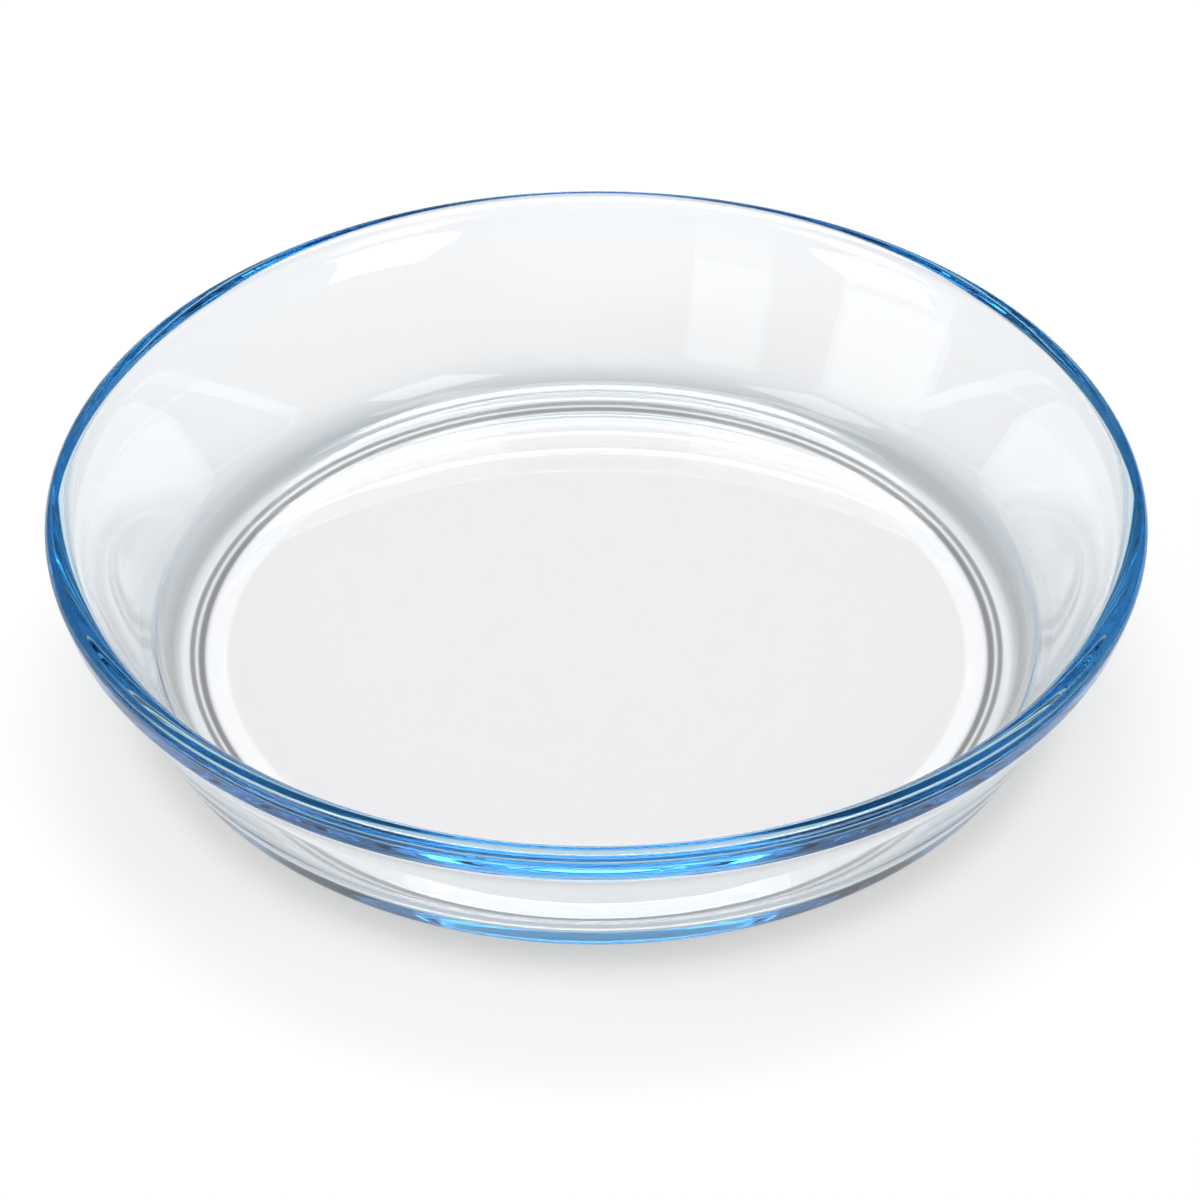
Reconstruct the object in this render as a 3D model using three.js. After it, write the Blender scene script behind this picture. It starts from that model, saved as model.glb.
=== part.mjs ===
// Round glass baking dish: one pressing of clear heat-proof glass with a flared wall,
// a fire-polished rim that stands out a little and a shallow recess under the base.
// The real dish is a single piece, so its zones meet face to face with no joint between them.
// Millimetres, +Z up. The origin is on the table, under the middle of the dish.

import * as THREE from 'three';

// Driving dimensions
const RIM_DIAMETER = 260;        // over the outside of the rim
const HEIGHT = 47;               // table to the top of the rim
const RIM_TOP_RADIUS = 2.2;      // round outer edge on top of the rim
const RIM_LIP_RADIUS = 6;        // round inner edge on top of the rim
const RIM_FACE = 3.5;            // straight part of the rim's outer face
const RIM_LEAN = 14;             // degrees that this face leans outwards
const RIM_EDGE_RADIUS = 5;       // round lower edge of this face
const RIM_STEP = 1.2;            // how far the rim stands out from the wall
const RIM_CREASE_RADIUS = 40;    // hollow curve from the rim down into the wall
const WALL_THICKNESS = 6.5;      // square to the wall
const BASE_CORNER_DIAMETER = 214; // where the outer wall line would meet the table
const HEEL_RADIUS = 9;           // outer curve from the wall into the base
const INNER_CORNER_RADIUS = 12;  // inner curve from the wall into the floor
const BASE_THICKNESS = 6.5;      // table to the inner floor, over the foot
const FOOT_WIDTH = 7;            // flat band that the dish stands on
const RECESS_DEPTH = 0.8;        // rise of the underside inside the foot
const RECESS_SLOPE_WIDTH = 6.5;  // band over which the underside rises

// Fineness of the facets
const SEGMENTS = 96;             // around the dish
const ARC_STEP = Math.PI / 12;   // along a curve of the profile
const SAME_ANGLE = 1e-6;         // angles closer than this are one
const SAME_POINT = 1e-6;         // points closer than this are one

// Clear glass, faintly blue where it is thick
const glassColours = {
  rim_bead: '#7db9e6',
  side_wall: '#e6eaed',
  heel_ring: '#c3d6e4',
  foot_ring: '#dde6ec',
  base_disc: '#eef1f4',
};

// A point of the profile: x is the distance from the dish's axis, y is the height over the table
const point = (radius, height) => new THREE.Vector2(radius, height);

// A point of an arc
const onArc = (centre, radius, angle) => point(
  centre.x + radius * Math.cos(angle),
  centre.y + radius * Math.sin(angle),
);

// Points of an arc: its two ends, and whole steps between them, which keeps its outermost points
function arc(centre, radius, from, to) {
  const points = [onArc(centre, radius, from)];
  const firstStep = Math.floor((from + SAME_ANGLE) / ARC_STEP) + 1;
  for (let step = firstStep; step * ARC_STEP < to - SAME_ANGLE; step += 1) {
    points.push(onArc(centre, radius, step * ARC_STEP));
  }
  points.push(onArc(centre, radius, to));
  return points;
}

// The rim's outer face leans between a round top edge and a round lower edge
const lean = THREE.MathUtils.degToRad(RIM_LEAN);
const outOfFace = point(Math.cos(lean), -Math.sin(lean));
const downFace = point(-Math.sin(lean), -Math.cos(lean));
const topCentre = point(RIM_DIAMETER / 2 - RIM_TOP_RADIUS, HEIGHT - RIM_TOP_RADIUS);
const edgeCentre = topCentre.clone()
  .addScaledVector(outOfFace, RIM_TOP_RADIUS - RIM_EDGE_RADIUS)
  .addScaledVector(downFace, RIM_FACE);

// The wall's outer line runs from the base corner and lies a step inside the rim's lower edge
const baseCorner = point(BASE_CORNER_DIAMETER / 2, 0);
const cornerToEdge = edgeCentre.clone().sub(baseCorner);
const edgeDepth = RIM_EDGE_RADIUS - RIM_STEP;
const flare = Math.atan2(cornerToEdge.x, cornerToEdge.y)
  + Math.asin(edgeDepth / cornerToEdge.length());
const upWall = point(Math.sin(flare), Math.cos(flare));
const outOfWall = point(Math.cos(flare), -Math.sin(flare));

// Points on the wall's two faces, at a distance along the wall from the base corner
const outerFace = (along) => baseCorner.clone().addScaledVector(upWall, along);
const innerFace = (along) => outerFace(along).addScaledVector(outOfWall, -WALL_THICKNESS);
const alongWall = (p) => p.clone().sub(baseCorner).dot(upWall);

// Hollow crease, tangent to the outer face and to the rim's lower edge; the rim starts at its foot
const creaseRise = Math.sqrt(
  (RIM_CREASE_RADIUS + RIM_EDGE_RADIUS) ** 2 - (RIM_CREASE_RADIUS + edgeDepth) ** 2,
);
const rimStart = alongWall(edgeCentre) - creaseRise;
const creaseCentre = outerFace(rimStart).addScaledVector(outOfWall, RIM_CREASE_RADIUS);
const creaseEnd = edgeCentre.clone().sub(creaseCentre).angle();

// Round inner lip, tangent to the top and to the inner face, as far as the rim is wide enough for it
const innerTop = baseCorner.x + HEIGHT * Math.tan(flare) - WALL_THICKNESS / Math.cos(flare);
const lipReach = 1 / Math.cos(flare) - Math.tan(flare);
const lipRadius = Math.min(RIM_LIP_RADIUS, (topCentre.x - innerTop) / lipReach);
const lipCentre = point(innerTop + lipRadius * lipReach, HEIGHT - lipRadius);

// Outer heel curve, tangent to the table and to the outer face
const heelCentre = point(
  baseCorner.x + HEEL_RADIUS * (Math.tan(flare) - 1 / Math.cos(flare)),
  HEEL_RADIUS,
);

// Inner corner curve, tangent to the floor and to the inner face
const innerCentreHeight = BASE_THICKNESS + INNER_CORNER_RADIUS;
const innerCentre = point(
  baseCorner.x + innerCentreHeight * Math.tan(flare)
    - (WALL_THICKNESS + INNER_CORNER_RADIUS) / Math.cos(flare),
  innerCentreHeight,
);

// The heel ends where both of its curves have run out into straight wall and flat base.
// Towards the base it ends on the slanted line between the curves' lower ends.
const heelTop = Math.max(alongWall(heelCentre), alongWall(innerCentre));
const heelStart = point(heelCentre.x, 0);
const floorEdge = point(innerCentre.x, BASE_THICKNESS);
const footInnerRadius = heelStart.x - FOOT_WIDTH;
const recessRadius = footInnerRadius - RECESS_SLOPE_WIDTH;

// Rounded rim that closes the top of the wall
function rimProfile() {
  return [
    ...arc(creaseCentre, RIM_CREASE_RADIUS, creaseEnd, Math.PI - flare).reverse(),
    ...arc(edgeCentre, RIM_EDGE_RADIUS, creaseEnd - Math.PI, -lean),
    ...arc(topCentre, RIM_TOP_RADIUS, -lean, Math.PI / 2),
    ...arc(lipCentre, lipRadius, Math.PI / 2, Math.PI - flare),
    innerFace(rimStart),
  ];
}

// Straight flared wall between the heel and the rim
function wallProfile() {
  return [outerFace(heelTop), outerFace(rimStart), innerFace(rimStart), innerFace(heelTop)];
}

// Curved corner between the wall and the base
function heelProfile() {
  return [
    ...arc(heelCentre, HEEL_RADIUS, -Math.PI / 2, -flare),
    outerFace(heelTop),
    innerFace(heelTop),
    ...arc(innerCentre, INNER_CORNER_RADIUS, -Math.PI / 2, -flare).reverse(),
  ];
}

// Thick band at the edge of the base, flat below, on which the dish stands
function footProfile() {
  return [
    point(footInnerRadius, 0),
    heelStart,
    floorEdge,
    point(recessRadius, BASE_THICKNESS),
    point(recessRadius, RECESS_DEPTH),
  ];
}

// Middle of the base, lifted clear of the table
function baseProfile() {
  return [
    point(0, RECESS_DEPTH),
    point(recessRadius, RECESS_DEPTH),
    point(recessRadius, BASE_THICKNESS),
    point(0, BASE_THICKNESS),
  ];
}

// Turn a profile about the dish's axis; one that leaves the axis alone is closed on itself
function turned(name, profile) {
  const apart = (p, q) => p.distanceTo(q) > SAME_POINT;
  const outline = profile.filter((p, i) => i === 0 || apart(p, profile[i - 1]));
  const onAxis = outline[0].x === 0 && outline[outline.length - 1].x === 0;
  if (!onAxis) outline.push(outline[0].clone());
  const geometry = new THREE.LatheGeometry(outline, SEGMENTS);
  geometry.rotateX(Math.PI / 2);
  const material = new THREE.MeshStandardMaterial({
    color: glassColours[name],
    roughness: 0.05,
    metalness: 0,
    transparent: true,
    opacity: 0.5,
  });
  const mesh = new THREE.Mesh(geometry, material);
  mesh.name = name;
  return mesh;
}

const dish = new THREE.Group();
dish.name = 'round_glass_baking_dish';
dish.add(
  turned('rim_bead', rimProfile()),
  turned('side_wall', wallProfile()),
  turned('heel_ring', heelProfile()),
  turned('foot_ring', footProfile()),
  turned('base_disc', baseProfile()),
);

export default dish;
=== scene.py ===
import math

import bmesh
import bpy
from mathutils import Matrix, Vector


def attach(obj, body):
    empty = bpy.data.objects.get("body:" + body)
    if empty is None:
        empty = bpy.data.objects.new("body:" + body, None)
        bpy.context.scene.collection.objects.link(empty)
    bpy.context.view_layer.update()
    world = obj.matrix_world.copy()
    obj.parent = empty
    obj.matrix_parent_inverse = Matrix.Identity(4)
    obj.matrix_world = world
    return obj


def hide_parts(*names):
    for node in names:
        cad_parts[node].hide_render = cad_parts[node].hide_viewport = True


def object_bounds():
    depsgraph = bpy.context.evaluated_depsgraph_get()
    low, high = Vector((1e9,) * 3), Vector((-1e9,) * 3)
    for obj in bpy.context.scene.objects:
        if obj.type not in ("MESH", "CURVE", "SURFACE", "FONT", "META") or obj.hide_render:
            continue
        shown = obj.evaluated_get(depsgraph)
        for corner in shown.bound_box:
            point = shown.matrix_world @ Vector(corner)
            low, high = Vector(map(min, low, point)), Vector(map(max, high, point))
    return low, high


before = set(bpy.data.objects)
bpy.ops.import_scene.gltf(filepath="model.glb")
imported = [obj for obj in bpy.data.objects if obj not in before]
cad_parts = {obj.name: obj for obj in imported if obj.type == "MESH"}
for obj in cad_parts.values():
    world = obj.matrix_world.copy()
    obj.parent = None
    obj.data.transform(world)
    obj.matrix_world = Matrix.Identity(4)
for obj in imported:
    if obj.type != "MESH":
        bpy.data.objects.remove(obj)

# Box of the solids, kept before any piece is added
cad_low, cad_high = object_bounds()

MM = 0.001

# Sizes of the pressing, the same as its solids have
RIM_RADIUS = cad_high.x
HEIGHT = cad_high.z
RIM_TOP_RADIUS = 2.2 * MM
RIM_LIP_RADIUS = 6.0 * MM
RIM_FACE = 3.5 * MM
RIM_LEAN = math.radians(14)
RIM_EDGE_RADIUS = 5.0 * MM
RIM_STEP = 1.2 * MM
RIM_CREASE_RADIUS = 40.0 * MM
WALL_THICKNESS = 6.5 * MM
BASE_CORNER_RADIUS = 107.0 * MM
HEEL_RADIUS = 9.0 * MM
INNER_CORNER_RADIUS = 12.0 * MM
BASE_THICKNESS = 6.5 * MM
FOOT_WIDTH = 7.0 * MM
RECESS_DEPTH = 0.8 * MM
RECESS_SLOPE_WIDTH = 6.5 * MM

# Fineness of the mesh
ARC_STEP = math.radians(4)
WALL_STEP = 2.5 * MM
FLAT_EDGE = 1.0 * MM
SLOPE_STEPS = 12
SLOPE_ROUNDING = 0.2
TURN_STEPS = 600
MERGE_DISTANCE = 0.001 * MM

# Marks that the mould leaves: their depth, waves round the dish with the twist of each up the wall,
# shares of the height between which they lie, and the turn of the inner face's marks
PRESS_MARK = 0.012 * MM
MARK_WAVES = ((13, 4), (29, -7), (41, 0))
MARK_LOW, MARK_HIGH = 0.3, 0.85
MARK_TURN_INSIDE = 0.4

# Light that the glass swallows, per metre of red, green and blue
ABSORBED_PER_METRE = (9.8, 3.6, 0.85)
# Room that keeps every channel of the absorption's colour above zero
ABSORPTION_ROOM = 1.02
GLASS_IOR = 1.47
GLASS_COLOUR = "#fffcfc"

# Share of the light that one surface of the glass lets through to the floor, which paints the depth of the
# dish's shadow there, as the glass's bending of light is not traced for it.
# Red, green and blue even out the blue cast of the shadow, and their lift above 1 is painted light
EVEN_OUT = (1.035, 1.005, 0.992)
SLANT_LOSS = 0.3
SLANT_POWER = 4.0
# Painted shadow: the wall passes less, and the heel less again, darkening the floor under the wall and
# beside the foot
WALL_PASSES = 0.88
HEEL_PASSES = 0.62
# The wall begins between these distances from the axis, and the heel's painted shade ends between these
# heights
WALL_START = (100 * MM, 104 * MM)
HEEL_END = (2 * MM, 16 * MM)
# Painted rings of light and shade on the floor under the foot's inner edge, standing in for the light that
# edge bends: from and to this far from the axis, and the share
LIGHT_RING = (88.8 * MM, 93.3 * MM, 1.2)
INNER_SHADE = (94.0 * MM, 95.7 * MM, 0.12)
OUTER_SHADE = (96.6 * MM, 98.2 * MM, 0.2)
RING_BLUR = 0.5 * MM
# Heights between which the underside, and the rings with it, ends
UNDERSIDE_END = (1 * MM, 2 * MM)

# Studio: its brightness, and where that changes, by the direction's parts from -1 to 1
STUDIO_TOP = 0.75
STUDIO_FRONT = 0.3
STUDIO_DARK = 0.01
STUDIO_RISE = (-0.6, 0.2)
STUDIO_BACK = (0.4, 0.62)
STUDIO_SIDES = (0.1, 0.5)
STUDIO_COLOUR = "#ffffff"

# Floor, in metres
FLOOR_REACH = 6.0
FLOOR_COLOUR = "#e7e7e7"
# Hairline of air under the foot, which keeps light that runs inside the glass from leaking into the floor
FLOOR_GAP = 0.05 * MM
# Its own light near the dish and far away, and the distances between which that changes
NEAR_GLOW = 0.26
FAR_GLOW = 0.85
GLOW_RISE = (0.3, 2.0)
GLOW_COLOUR = "#ffffff"

# Lamps: azimuth and elevation in degrees, distance, width and height in metres, and radiance.
# Azimuth 0 is behind the dish and 90 on its right
LAMPS = {
    "key": (0, 71, 2.0, 1.1, 0.9, 4.0),
    "key_core": (0, 66, 1.95, 0.9, 0.3, 12.0),
    "right_strip": (128, 48, 2.0, 0.7, 1.0, 3.6),
    "left_strip": (251, 48, 2.0, 0.7, 1.0, 3.6),
    "left_panel": (250, 15, 2.0, 0.9, 0.7, 1.2),
    "far_panel": (211, 15, 2.0, 0.6, 0.7, 0.8),
}

# Camera: distance in metres, lens and sensor in millimetres, and its aim beside the dish's middle
CAMERA_DISTANCE = 1.4
CAMERA_ELEVATION = math.radians(38.16)
CAMERA_LENS = 176.106
CAMERA_SENSOR = 36
AIM_BELOW = 5.3422 * MM
AIM_RIGHT = 0.8824 * MM

# Light that is guided round inside the rim meets its faces many times
GLASS_BOUNCES = 128
CLEAR_BOUNCES = 64

SMOOTH = {"interpolation_type": 'SMOOTHSTEP'}

scene = bpy.context.scene


def linear(hex_colour):
    """Linear colour of an sRGB hex value."""
    channels = [int(hex_colour[i:i + 2], 16) / 255 for i in (1, 3, 5)]
    return tuple(c / 12.92 if c <= 0.04045 else ((c + 0.055) / 1.055) ** 2.4 for c in channels) + (1.0,)


def node(tree, kind, settings=None, inputs=None, links=None):
    """Add a node, set its properties and sockets, and link its inputs from other sockets."""
    made = tree.nodes.new(kind)
    for name, value in (settings or {}).items():
        setattr(made, name, value)
    for name, value in (inputs or {}).items():
        made.inputs[name].default_value = value
    for name, socket in (links or {}).items():
        tree.links.new(socket, made.inputs[name])
    return made


def arc(centre, radius, start, end):
    """Points of an arc, both ends included."""
    steps = max(2, math.ceil(abs(end - start) / ARC_STEP))
    angles = [start + (end - start) * i / steps for i in range(steps + 1)]
    return [Vector((centre.x + radius * math.cos(a), centre.y + radius * math.sin(a))) for a in angles]


def straight(start, end):
    """Points between two ends of a straight run, the ends left out."""
    steps = max(1, math.ceil((end - start).length / WALL_STEP))
    return [start.lerp(end, i / steps) for i in range(1, steps)]


def flat(start, end):
    """A point close to each end of a flat run, which keeps the light on it flat."""
    edge = (end - start).normalized() * FLAT_EDGE
    return [start + edge, end - edge]


def soft_fall(share):
    """Even fall from 1 to 0 with rounded ends."""
    steep = 1 / (1 - SLOPE_ROUNDING)
    near = min(share, 1 - share)
    if near < SLOPE_ROUNDING:
        moved = steep * near * near / (2 * SLOPE_ROUNDING)
    else:
        moved = steep * (near - SLOPE_ROUNDING / 2)
    return 1 - moved if share < 0.5 else moved


def dish_profile():
    """Half section of the dish, from the middle of the underside round the rim to the floor's middle."""
    # Rim: an outer face that leans between a round top edge and a round lower edge
    face = Vector((math.cos(RIM_LEAN), -math.sin(RIM_LEAN)))
    top = Vector((RIM_RADIUS - RIM_TOP_RADIUS, HEIGHT - RIM_TOP_RADIUS))
    edge = top + face * (RIM_TOP_RADIUS - RIM_EDGE_RADIUS) + Vector((face.y, -face.x)) * RIM_FACE
    # Wall: its outer face runs from the base corner and lies a step inside the rim's lower edge
    corner = Vector((BASE_CORNER_RADIUS, 0))
    across = edge - corner
    edge_depth = RIM_EDGE_RADIUS - RIM_STEP
    flare = math.atan2(across.x, across.y) + math.asin(edge_depth / across.length)
    up = Vector((math.sin(flare), math.cos(flare)))
    out = Vector((math.cos(flare), -math.sin(flare)))
    # Hollow crease below the rim, and the round lip inside it
    rise = math.sqrt((RIM_CREASE_RADIUS + RIM_EDGE_RADIUS) ** 2 - (RIM_CREASE_RADIUS + edge_depth) ** 2)
    crease = corner + up * (across.dot(up) - rise) + out * RIM_CREASE_RADIUS
    to_edge = math.atan2(edge.y - crease.y, edge.x - crease.x)
    lip = Vector((corner.x + (HEIGHT - RIM_LIP_RADIUS) * math.tan(flare)
                  - (WALL_THICKNESS - RIM_LIP_RADIUS) / math.cos(flare), HEIGHT - RIM_LIP_RADIUS))
    # Heel outside and corner inside
    heel = Vector((corner.x + HEEL_RADIUS * (math.tan(flare) - 1 / math.cos(flare)), HEEL_RADIUS))
    inner_height = BASE_THICKNESS + INNER_CORNER_RADIUS
    inner = Vector((corner.x + inner_height * math.tan(flare)
                    - (WALL_THICKNESS + INNER_CORNER_RADIUS) / math.cos(flare), inner_height))
    # Middles of the underside and the floor, and the recess that lifts the underside
    underside = Vector((0, RECESS_DEPTH))
    floor = Vector((0, BASE_THICKNESS))
    recess = Vector((heel.x - FOOT_WIDTH - RECESS_SLOPE_WIDTH, RECESS_DEPTH))

    # Underside, foot and heel
    points = [underside, *flat(underside, recess)]
    for step in range(SLOPE_STEPS + 1):
        share = step / SLOPE_STEPS
        points.append(Vector((recess.x + RECESS_SLOPE_WIDTH * share, RECESS_DEPTH * soft_fall(share))))
    points += flat(points[-1], Vector((heel.x, 0)))
    points += arc(heel, HEEL_RADIUS, -math.pi / 2, -flare)
    # Outer wall, crease and rim
    points += straight(points[-1], crease - out * RIM_CREASE_RADIUS)
    points += arc(crease, RIM_CREASE_RADIUS, math.pi - flare, to_edge)
    points += arc(edge, RIM_EDGE_RADIUS, to_edge - math.pi, -RIM_LEAN)[1:]
    points += straight(points[-1], top + face * RIM_TOP_RADIUS)
    points += arc(top, RIM_TOP_RADIUS, -RIM_LEAN, math.pi / 2)
    points += arc(lip, RIM_LIP_RADIUS, math.pi / 2, math.pi - flare)
    # Inner wall, corner and floor
    points += straight(points[-1], inner + out * INNER_CORNER_RADIUS)
    points += arc(inner, INNER_CORNER_RADIUS, -flare, -math.pi / 2)
    points += flat(points[-1], floor)
    points.append(floor)
    return points


def press_marks(bm):
    """Faint unevenness that the mould leaves in the wall; it only ever takes glass away."""
    bm.normal_update()
    for vert in bm.verts:
        height = vert.co.z / HEIGHT
        turn = math.atan2(vert.co.y, vert.co.x)
        if vert.normal.dot(Vector((vert.co.x, vert.co.y, 0))) < 0:
            turn += MARK_TURN_INSIDE
        up_wall = min(max((height - MARK_LOW) / (MARK_HIGH - MARK_LOW), 0), 1)
        strength = math.sin(math.pi * up_wall) ** 2
        swing = sum(math.sin(waves * turn + twist * height) for waves, twist in MARK_WAVES)
        vert.co -= vert.normal * PRESS_MARK * strength * (1 + swing / len(MARK_WAVES)) / 2


def make_dish():
    """One seamless body of glass, its half section turned about the upright axis."""
    bm = bmesh.new()
    section = [bm.verts.new((p.x, 0, p.y)) for p in dish_profile()]
    edges = [bm.edges.new(pair) for pair in zip(section, section[1:])]
    bmesh.ops.spin(bm, geom=section + edges, axis=(0, 0, 1), cent=(0, 0, 0), dvec=(0, 0, 0),
                   angle=2 * math.pi, steps=TURN_STEPS, use_merge=True)
    bmesh.ops.remove_doubles(bm, verts=bm.verts, dist=MERGE_DISTANCE)
    bmesh.ops.recalc_face_normals(bm, faces=bm.faces)
    press_marks(bm)
    for face in bm.faces:
        face.smooth = True
    mesh = bpy.data.meshes.new("glass_dish")
    bm.to_mesh(mesh)
    bm.free()
    dish = bpy.data.objects.new("glass_dish", mesh)
    scene.collection.objects.link(dish)
    return dish


def pressed_glass():
    """Pressed borosilicate glass: clear across a wall, blue where light runs far along inside it; the light
    and shade it throws on the floor are painted into the colour it lets through.
    """
    material = bpy.data.materials.new("pressed borosilicate glass")
    material.use_nodes = True
    tree = material.node_tree
    tree.nodes.clear()
    glass = node(tree, "ShaderNodeBsdfPrincipled", inputs={
        "Base Color": linear(GLASS_COLOUR), "Roughness": 0.0, "IOR": GLASS_IOR,
        "Transmission Weight": 1.0})
    density = max(ABSORBED_PER_METRE) * ABSORPTION_ROOM
    inside = node(tree, "ShaderNodeVolumeAbsorption", inputs={
        "Color": tuple(1 - a / density for a in ABSORBED_PER_METRE) + (1.0,), "Density": density})

    # Place on the dish: the height, and the distance from the axis
    where = node(tree, "ShaderNodeTexCoord")
    height = node(tree, "ShaderNodeSeparateXYZ", links={0: where.outputs["Object"]}).outputs["Z"]
    outward = node(tree, "ShaderNodeVectorMath", {"operation": 'MULTIPLY'}, {1: (1, 1, 0)},
                   {0: where.outputs["Object"]})
    radius = node(tree, "ShaderNodeVectorMath", {"operation": 'LENGTH'},
                  links={0: outward.outputs[0]}).outputs["Value"]

    # Light let through to the floor: less at a slant, and less through the wall and the heel as painted
    # shadow
    slant = node(tree, "ShaderNodeLayerWeight", inputs={"Blend": 0.5})
    lost = node(tree, "ShaderNodeMath", {"operation": 'POWER'}, {1: SLANT_POWER},
                {0: slant.outputs["Facing"]})
    share = node(tree, "ShaderNodeMath", {"operation": 'MULTIPLY_ADD'}, {1: -SLANT_LOSS, 2: 1.0},
                 {0: lost.outputs[0]})
    wall = node(tree, "ShaderNodeMapRange", SMOOTH, {
        "From Min": WALL_START[0], "From Max": WALL_START[1], "To Min": 1.0, "To Max": WALL_PASSES},
        {"Value": radius})
    low_down = node(tree, "ShaderNodeMapRange", SMOOTH, {
        "From Min": HEEL_END[0], "From Max": HEEL_END[1], "To Min": HEEL_PASSES, "To Max": 1.0},
        {"Value": height})
    heel = node(tree, "ShaderNodeMapRange", SMOOTH, {
        "From Min": WALL_START[0], "From Max": WALL_START[1], "To Min": 1.0},
        {"Value": radius, "To Max": low_down.outputs[0]})
    zones = [wall, heel]
    # Painted rings of light and shade: in a ring, the underside lets its share through; above it and on
    # both sides of it, all passes
    for start, end, passes in (LIGHT_RING, INNER_SHADE, OUTER_SHADE):
        below = node(tree, "ShaderNodeMapRange", SMOOTH, {
            "From Min": UNDERSIDE_END[0], "From Max": UNDERSIDE_END[1], "To Min": passes, "To Max": 1.0},
            {"Value": height})
        begun = node(tree, "ShaderNodeMapRange", SMOOTH, {
            "From Min": start - RING_BLUR, "From Max": start + RING_BLUR, "To Min": 1.0},
            {"Value": radius, "To Max": below.outputs[0]})
        ring = node(tree, "ShaderNodeMapRange", SMOOTH, {
            "From Min": end - RING_BLUR, "From Max": end + RING_BLUR, "To Max": 1.0},
            {"Value": radius, "To Min": begun.outputs[0]})
        zones.append(ring)
    for zone in zones:
        share = node(tree, "ShaderNodeMath", {"operation": 'MULTIPLY'},
                     links={0: share.outputs[0], 1: zone.outputs[0]})

    # Rays that light the floor pass straight through, taking the painted light and shade as their colour,
    # and all others meet the glass
    tint = node(tree, "ShaderNodeVectorMath", {"operation": 'SCALE'}, {0: EVEN_OUT},
                {"Scale": share.outputs[0]})
    clear = node(tree, "ShaderNodeBsdfTransparent", links={"Color": tint.outputs[0]})
    rays = node(tree, "ShaderNodeLightPath")
    for_floor = node(tree, "ShaderNodeMixShader", links={
        0: rays.outputs["Is Diffuse Ray"], 1: glass.outputs[0], 2: clear.outputs[0]})
    surface = node(tree, "ShaderNodeMixShader", links={
        0: rays.outputs["Is Shadow Ray"], 1: for_floor.outputs[0], 2: clear.outputs[0]})
    node(tree, "ShaderNodeOutputMaterial", links={
        "Surface": surface.outputs[0], "Volume": inside.outputs[0]})
    return material


def make_floor():
    """Matt white studio table, faintly lit from below, and more so where the lamps don't reach."""
    material = bpy.data.materials.new("matt white studio floor")
    material.use_nodes = True
    tree = material.node_tree
    tree.nodes.clear()
    paint = node(tree, "ShaderNodeBsdfDiffuse", inputs={"Color": linear(FLOOR_COLOUR)})
    where = node(tree, "ShaderNodeNewGeometry")
    away = node(tree, "ShaderNodeVectorMath", {"operation": 'LENGTH'}, links={0: where.outputs["Position"]})
    level = node(tree, "ShaderNodeMapRange", SMOOTH, {
        "From Min": GLOW_RISE[0], "From Max": GLOW_RISE[1], "To Min": NEAR_GLOW, "To Max": FAR_GLOW},
        {"Value": away.outputs["Value"]})
    glow = node(tree, "ShaderNodeEmission", inputs={"Color": linear(GLOW_COLOUR)},
                links={"Strength": level.outputs[0]})
    both = node(tree, "ShaderNodeAddShader", links={0: paint.outputs[0], 1: glow.outputs[0]})
    node(tree, "ShaderNodeOutputMaterial", links={"Surface": both.outputs[0]})

    bm = bmesh.new()
    bmesh.ops.create_grid(bm, x_segments=1, y_segments=1, size=FLOOR_REACH)
    bmesh.ops.translate(bm, verts=bm.verts, vec=(0, 0, -FLOOR_GAP))
    mesh = bpy.data.meshes.new("floor")
    bm.to_mesh(mesh)
    bm.free()
    mesh.materials.append(material)
    floor = bpy.data.objects.new("floor", mesh)
    scene.collection.objects.link(floor)


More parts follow.
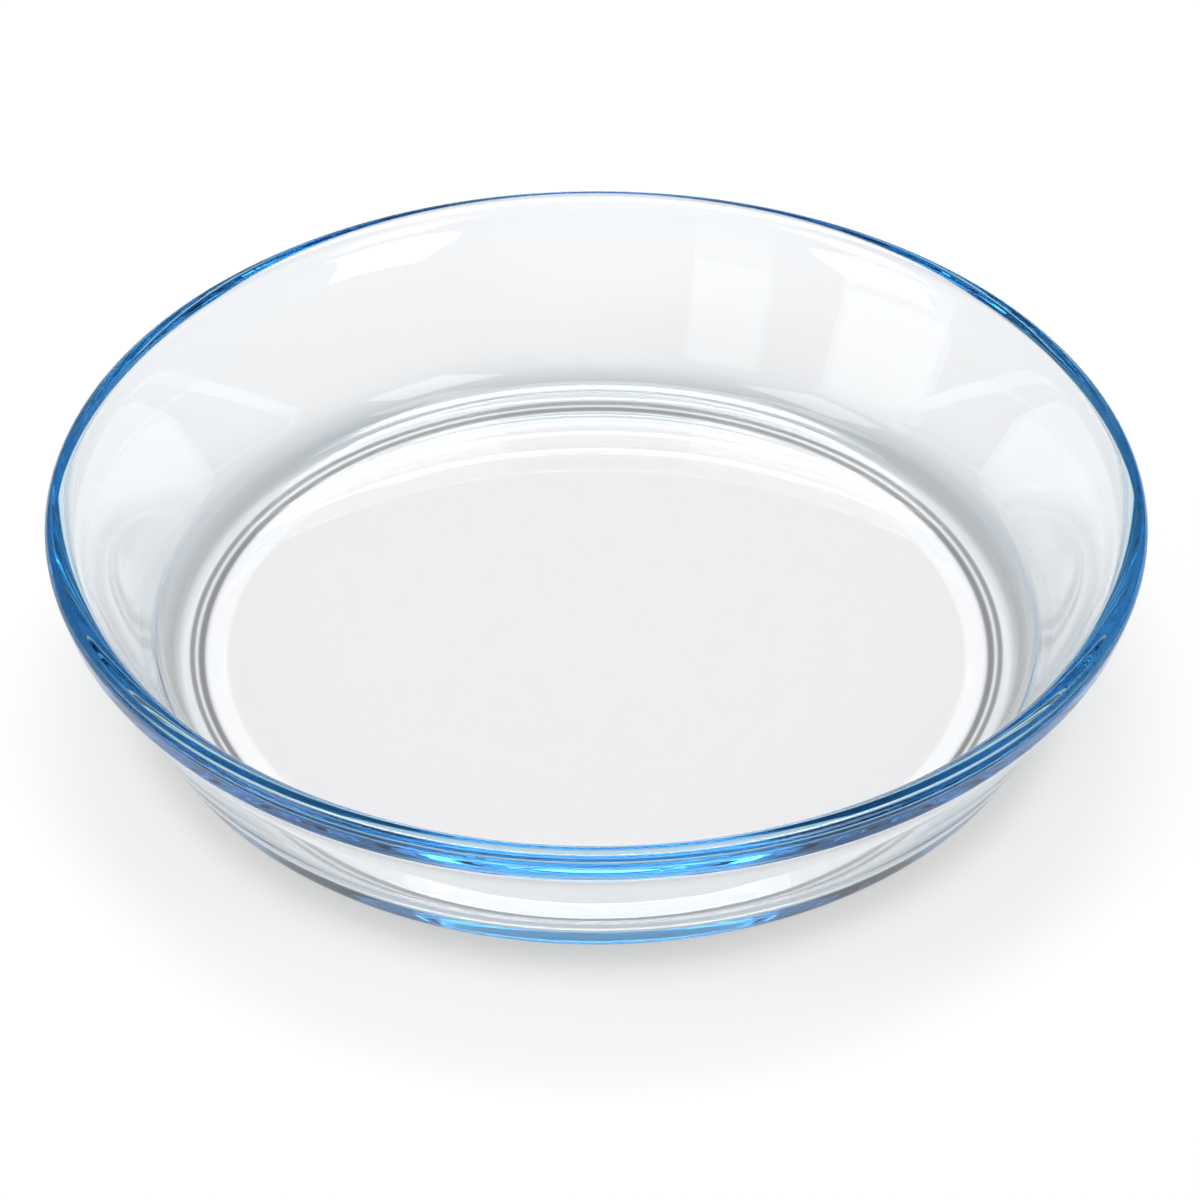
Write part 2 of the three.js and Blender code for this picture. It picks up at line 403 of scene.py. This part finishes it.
def make_world():
    """Studio that is bright overhead, dim in front and dark behind and at the sides."""
    world = bpy.data.worlds.new("studio")
    scene.world = world
    world.use_nodes = True
    tree = world.node_tree
    tree.nodes.clear()
    where = node(tree, "ShaderNodeTexCoord")
    parts = node(tree, "ShaderNodeSeparateXYZ", links={0: where.outputs["Generated"]})
    rise = node(tree, "ShaderNodeMapRange", SMOOTH, {
        "From Min": STUDIO_RISE[0], "From Max": STUDIO_RISE[1],
        "To Min": STUDIO_FRONT, "To Max": STUDIO_TOP}, {"Value": parts.outputs["Y"]})
    behind = node(tree, "ShaderNodeMapRange", SMOOTH, {
        "From Min": STUDIO_BACK[0], "From Max": STUDIO_BACK[1]}, {"Value": parts.outputs["Y"]})
    aside = node(tree, "ShaderNodeMath", {"operation": 'ABSOLUTE'}, links={0: parts.outputs["X"]})
    at_sides = node(tree, "ShaderNodeMapRange", SMOOTH, {
        "From Min": STUDIO_SIDES[0], "From Max": STUDIO_SIDES[1]}, {"Value": aside.outputs[0]})
    shaded = node(tree, "ShaderNodeMath", {"operation": 'MAXIMUM'},
                  links={0: at_sides.outputs[0], 1: behind.outputs[0]})
    level = node(tree, "ShaderNodeMix", {"data_type": 'FLOAT'}, {"B": STUDIO_DARK},
                 {"Factor": shaded.outputs[0], "A": rise.outputs[0]})
    studio = node(tree, "ShaderNodeBackground", inputs={"Color": linear(STUDIO_COLOUR)},
                  links={"Strength": level.outputs["Result"]})
    node(tree, "ShaderNodeOutputWorld", links={"Surface": studio.outputs[0]})


def softbox(name, azimuth, elevation, distance, width, height, radiance):
    """Lamp panel that faces the dish."""
    data = bpy.data.lights.new(name, 'AREA')
    data.shape = 'RECTANGLE'
    data.size = width
    data.size_y = height
    data.energy = radiance * math.pi * width * height
    lamp = bpy.data.objects.new(name, data)
    turn, lift = math.radians(azimuth), math.radians(elevation)
    towards = Vector((math.sin(turn) * math.cos(lift), math.cos(turn) * math.cos(lift), math.sin(lift)))
    lamp.location = towards * distance
    lamp.rotation_euler = towards.to_track_quat('Z', 'Y').to_euler()
    lamp.visible_camera = False
    scene.collection.objects.link(lamp)


def make_camera():
    """Long lens, from the front and above."""
    back = Vector((0, -math.cos(CAMERA_ELEVATION), math.sin(CAMERA_ELEVATION)))
    up = Vector((0, math.sin(CAMERA_ELEVATION), math.cos(CAMERA_ELEVATION)))
    middle = Vector((0, 0, HEIGHT / 2))
    aim = middle - up * AIM_BELOW + Vector((AIM_RIGHT, 0, 0))
    data = bpy.data.cameras.new("camera")
    data.sensor_width = CAMERA_SENSOR
    data.lens = CAMERA_LENS
    camera = bpy.data.objects.new("camera", data)
    camera.location = middle + back * CAMERA_DISTANCE
    camera.rotation_euler = (camera.location - aim).to_track_quat('Z', 'Y').to_euler()
    scene.collection.objects.link(camera)
    scene.camera = camera


dish = make_dish()
dish.data.materials.append(pressed_glass())
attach(dish, "root")
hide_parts("rim_bead", "side_wall", "heel_ring", "foot_ring", "base_disc")
make_floor()
make_world()
make_camera()
for lamp_name, setting in LAMPS.items():
    softbox(lamp_name, *setting)

scene.view_settings.view_transform = 'Standard'
scene.cycles.max_bounces = GLASS_BOUNCES
scene.cycles.transmission_bounces = GLASS_BOUNCES
scene.cycles.glossy_bounces = GLASS_BOUNCES
scene.cycles.transparent_max_bounces = CLEAR_BOUNCES
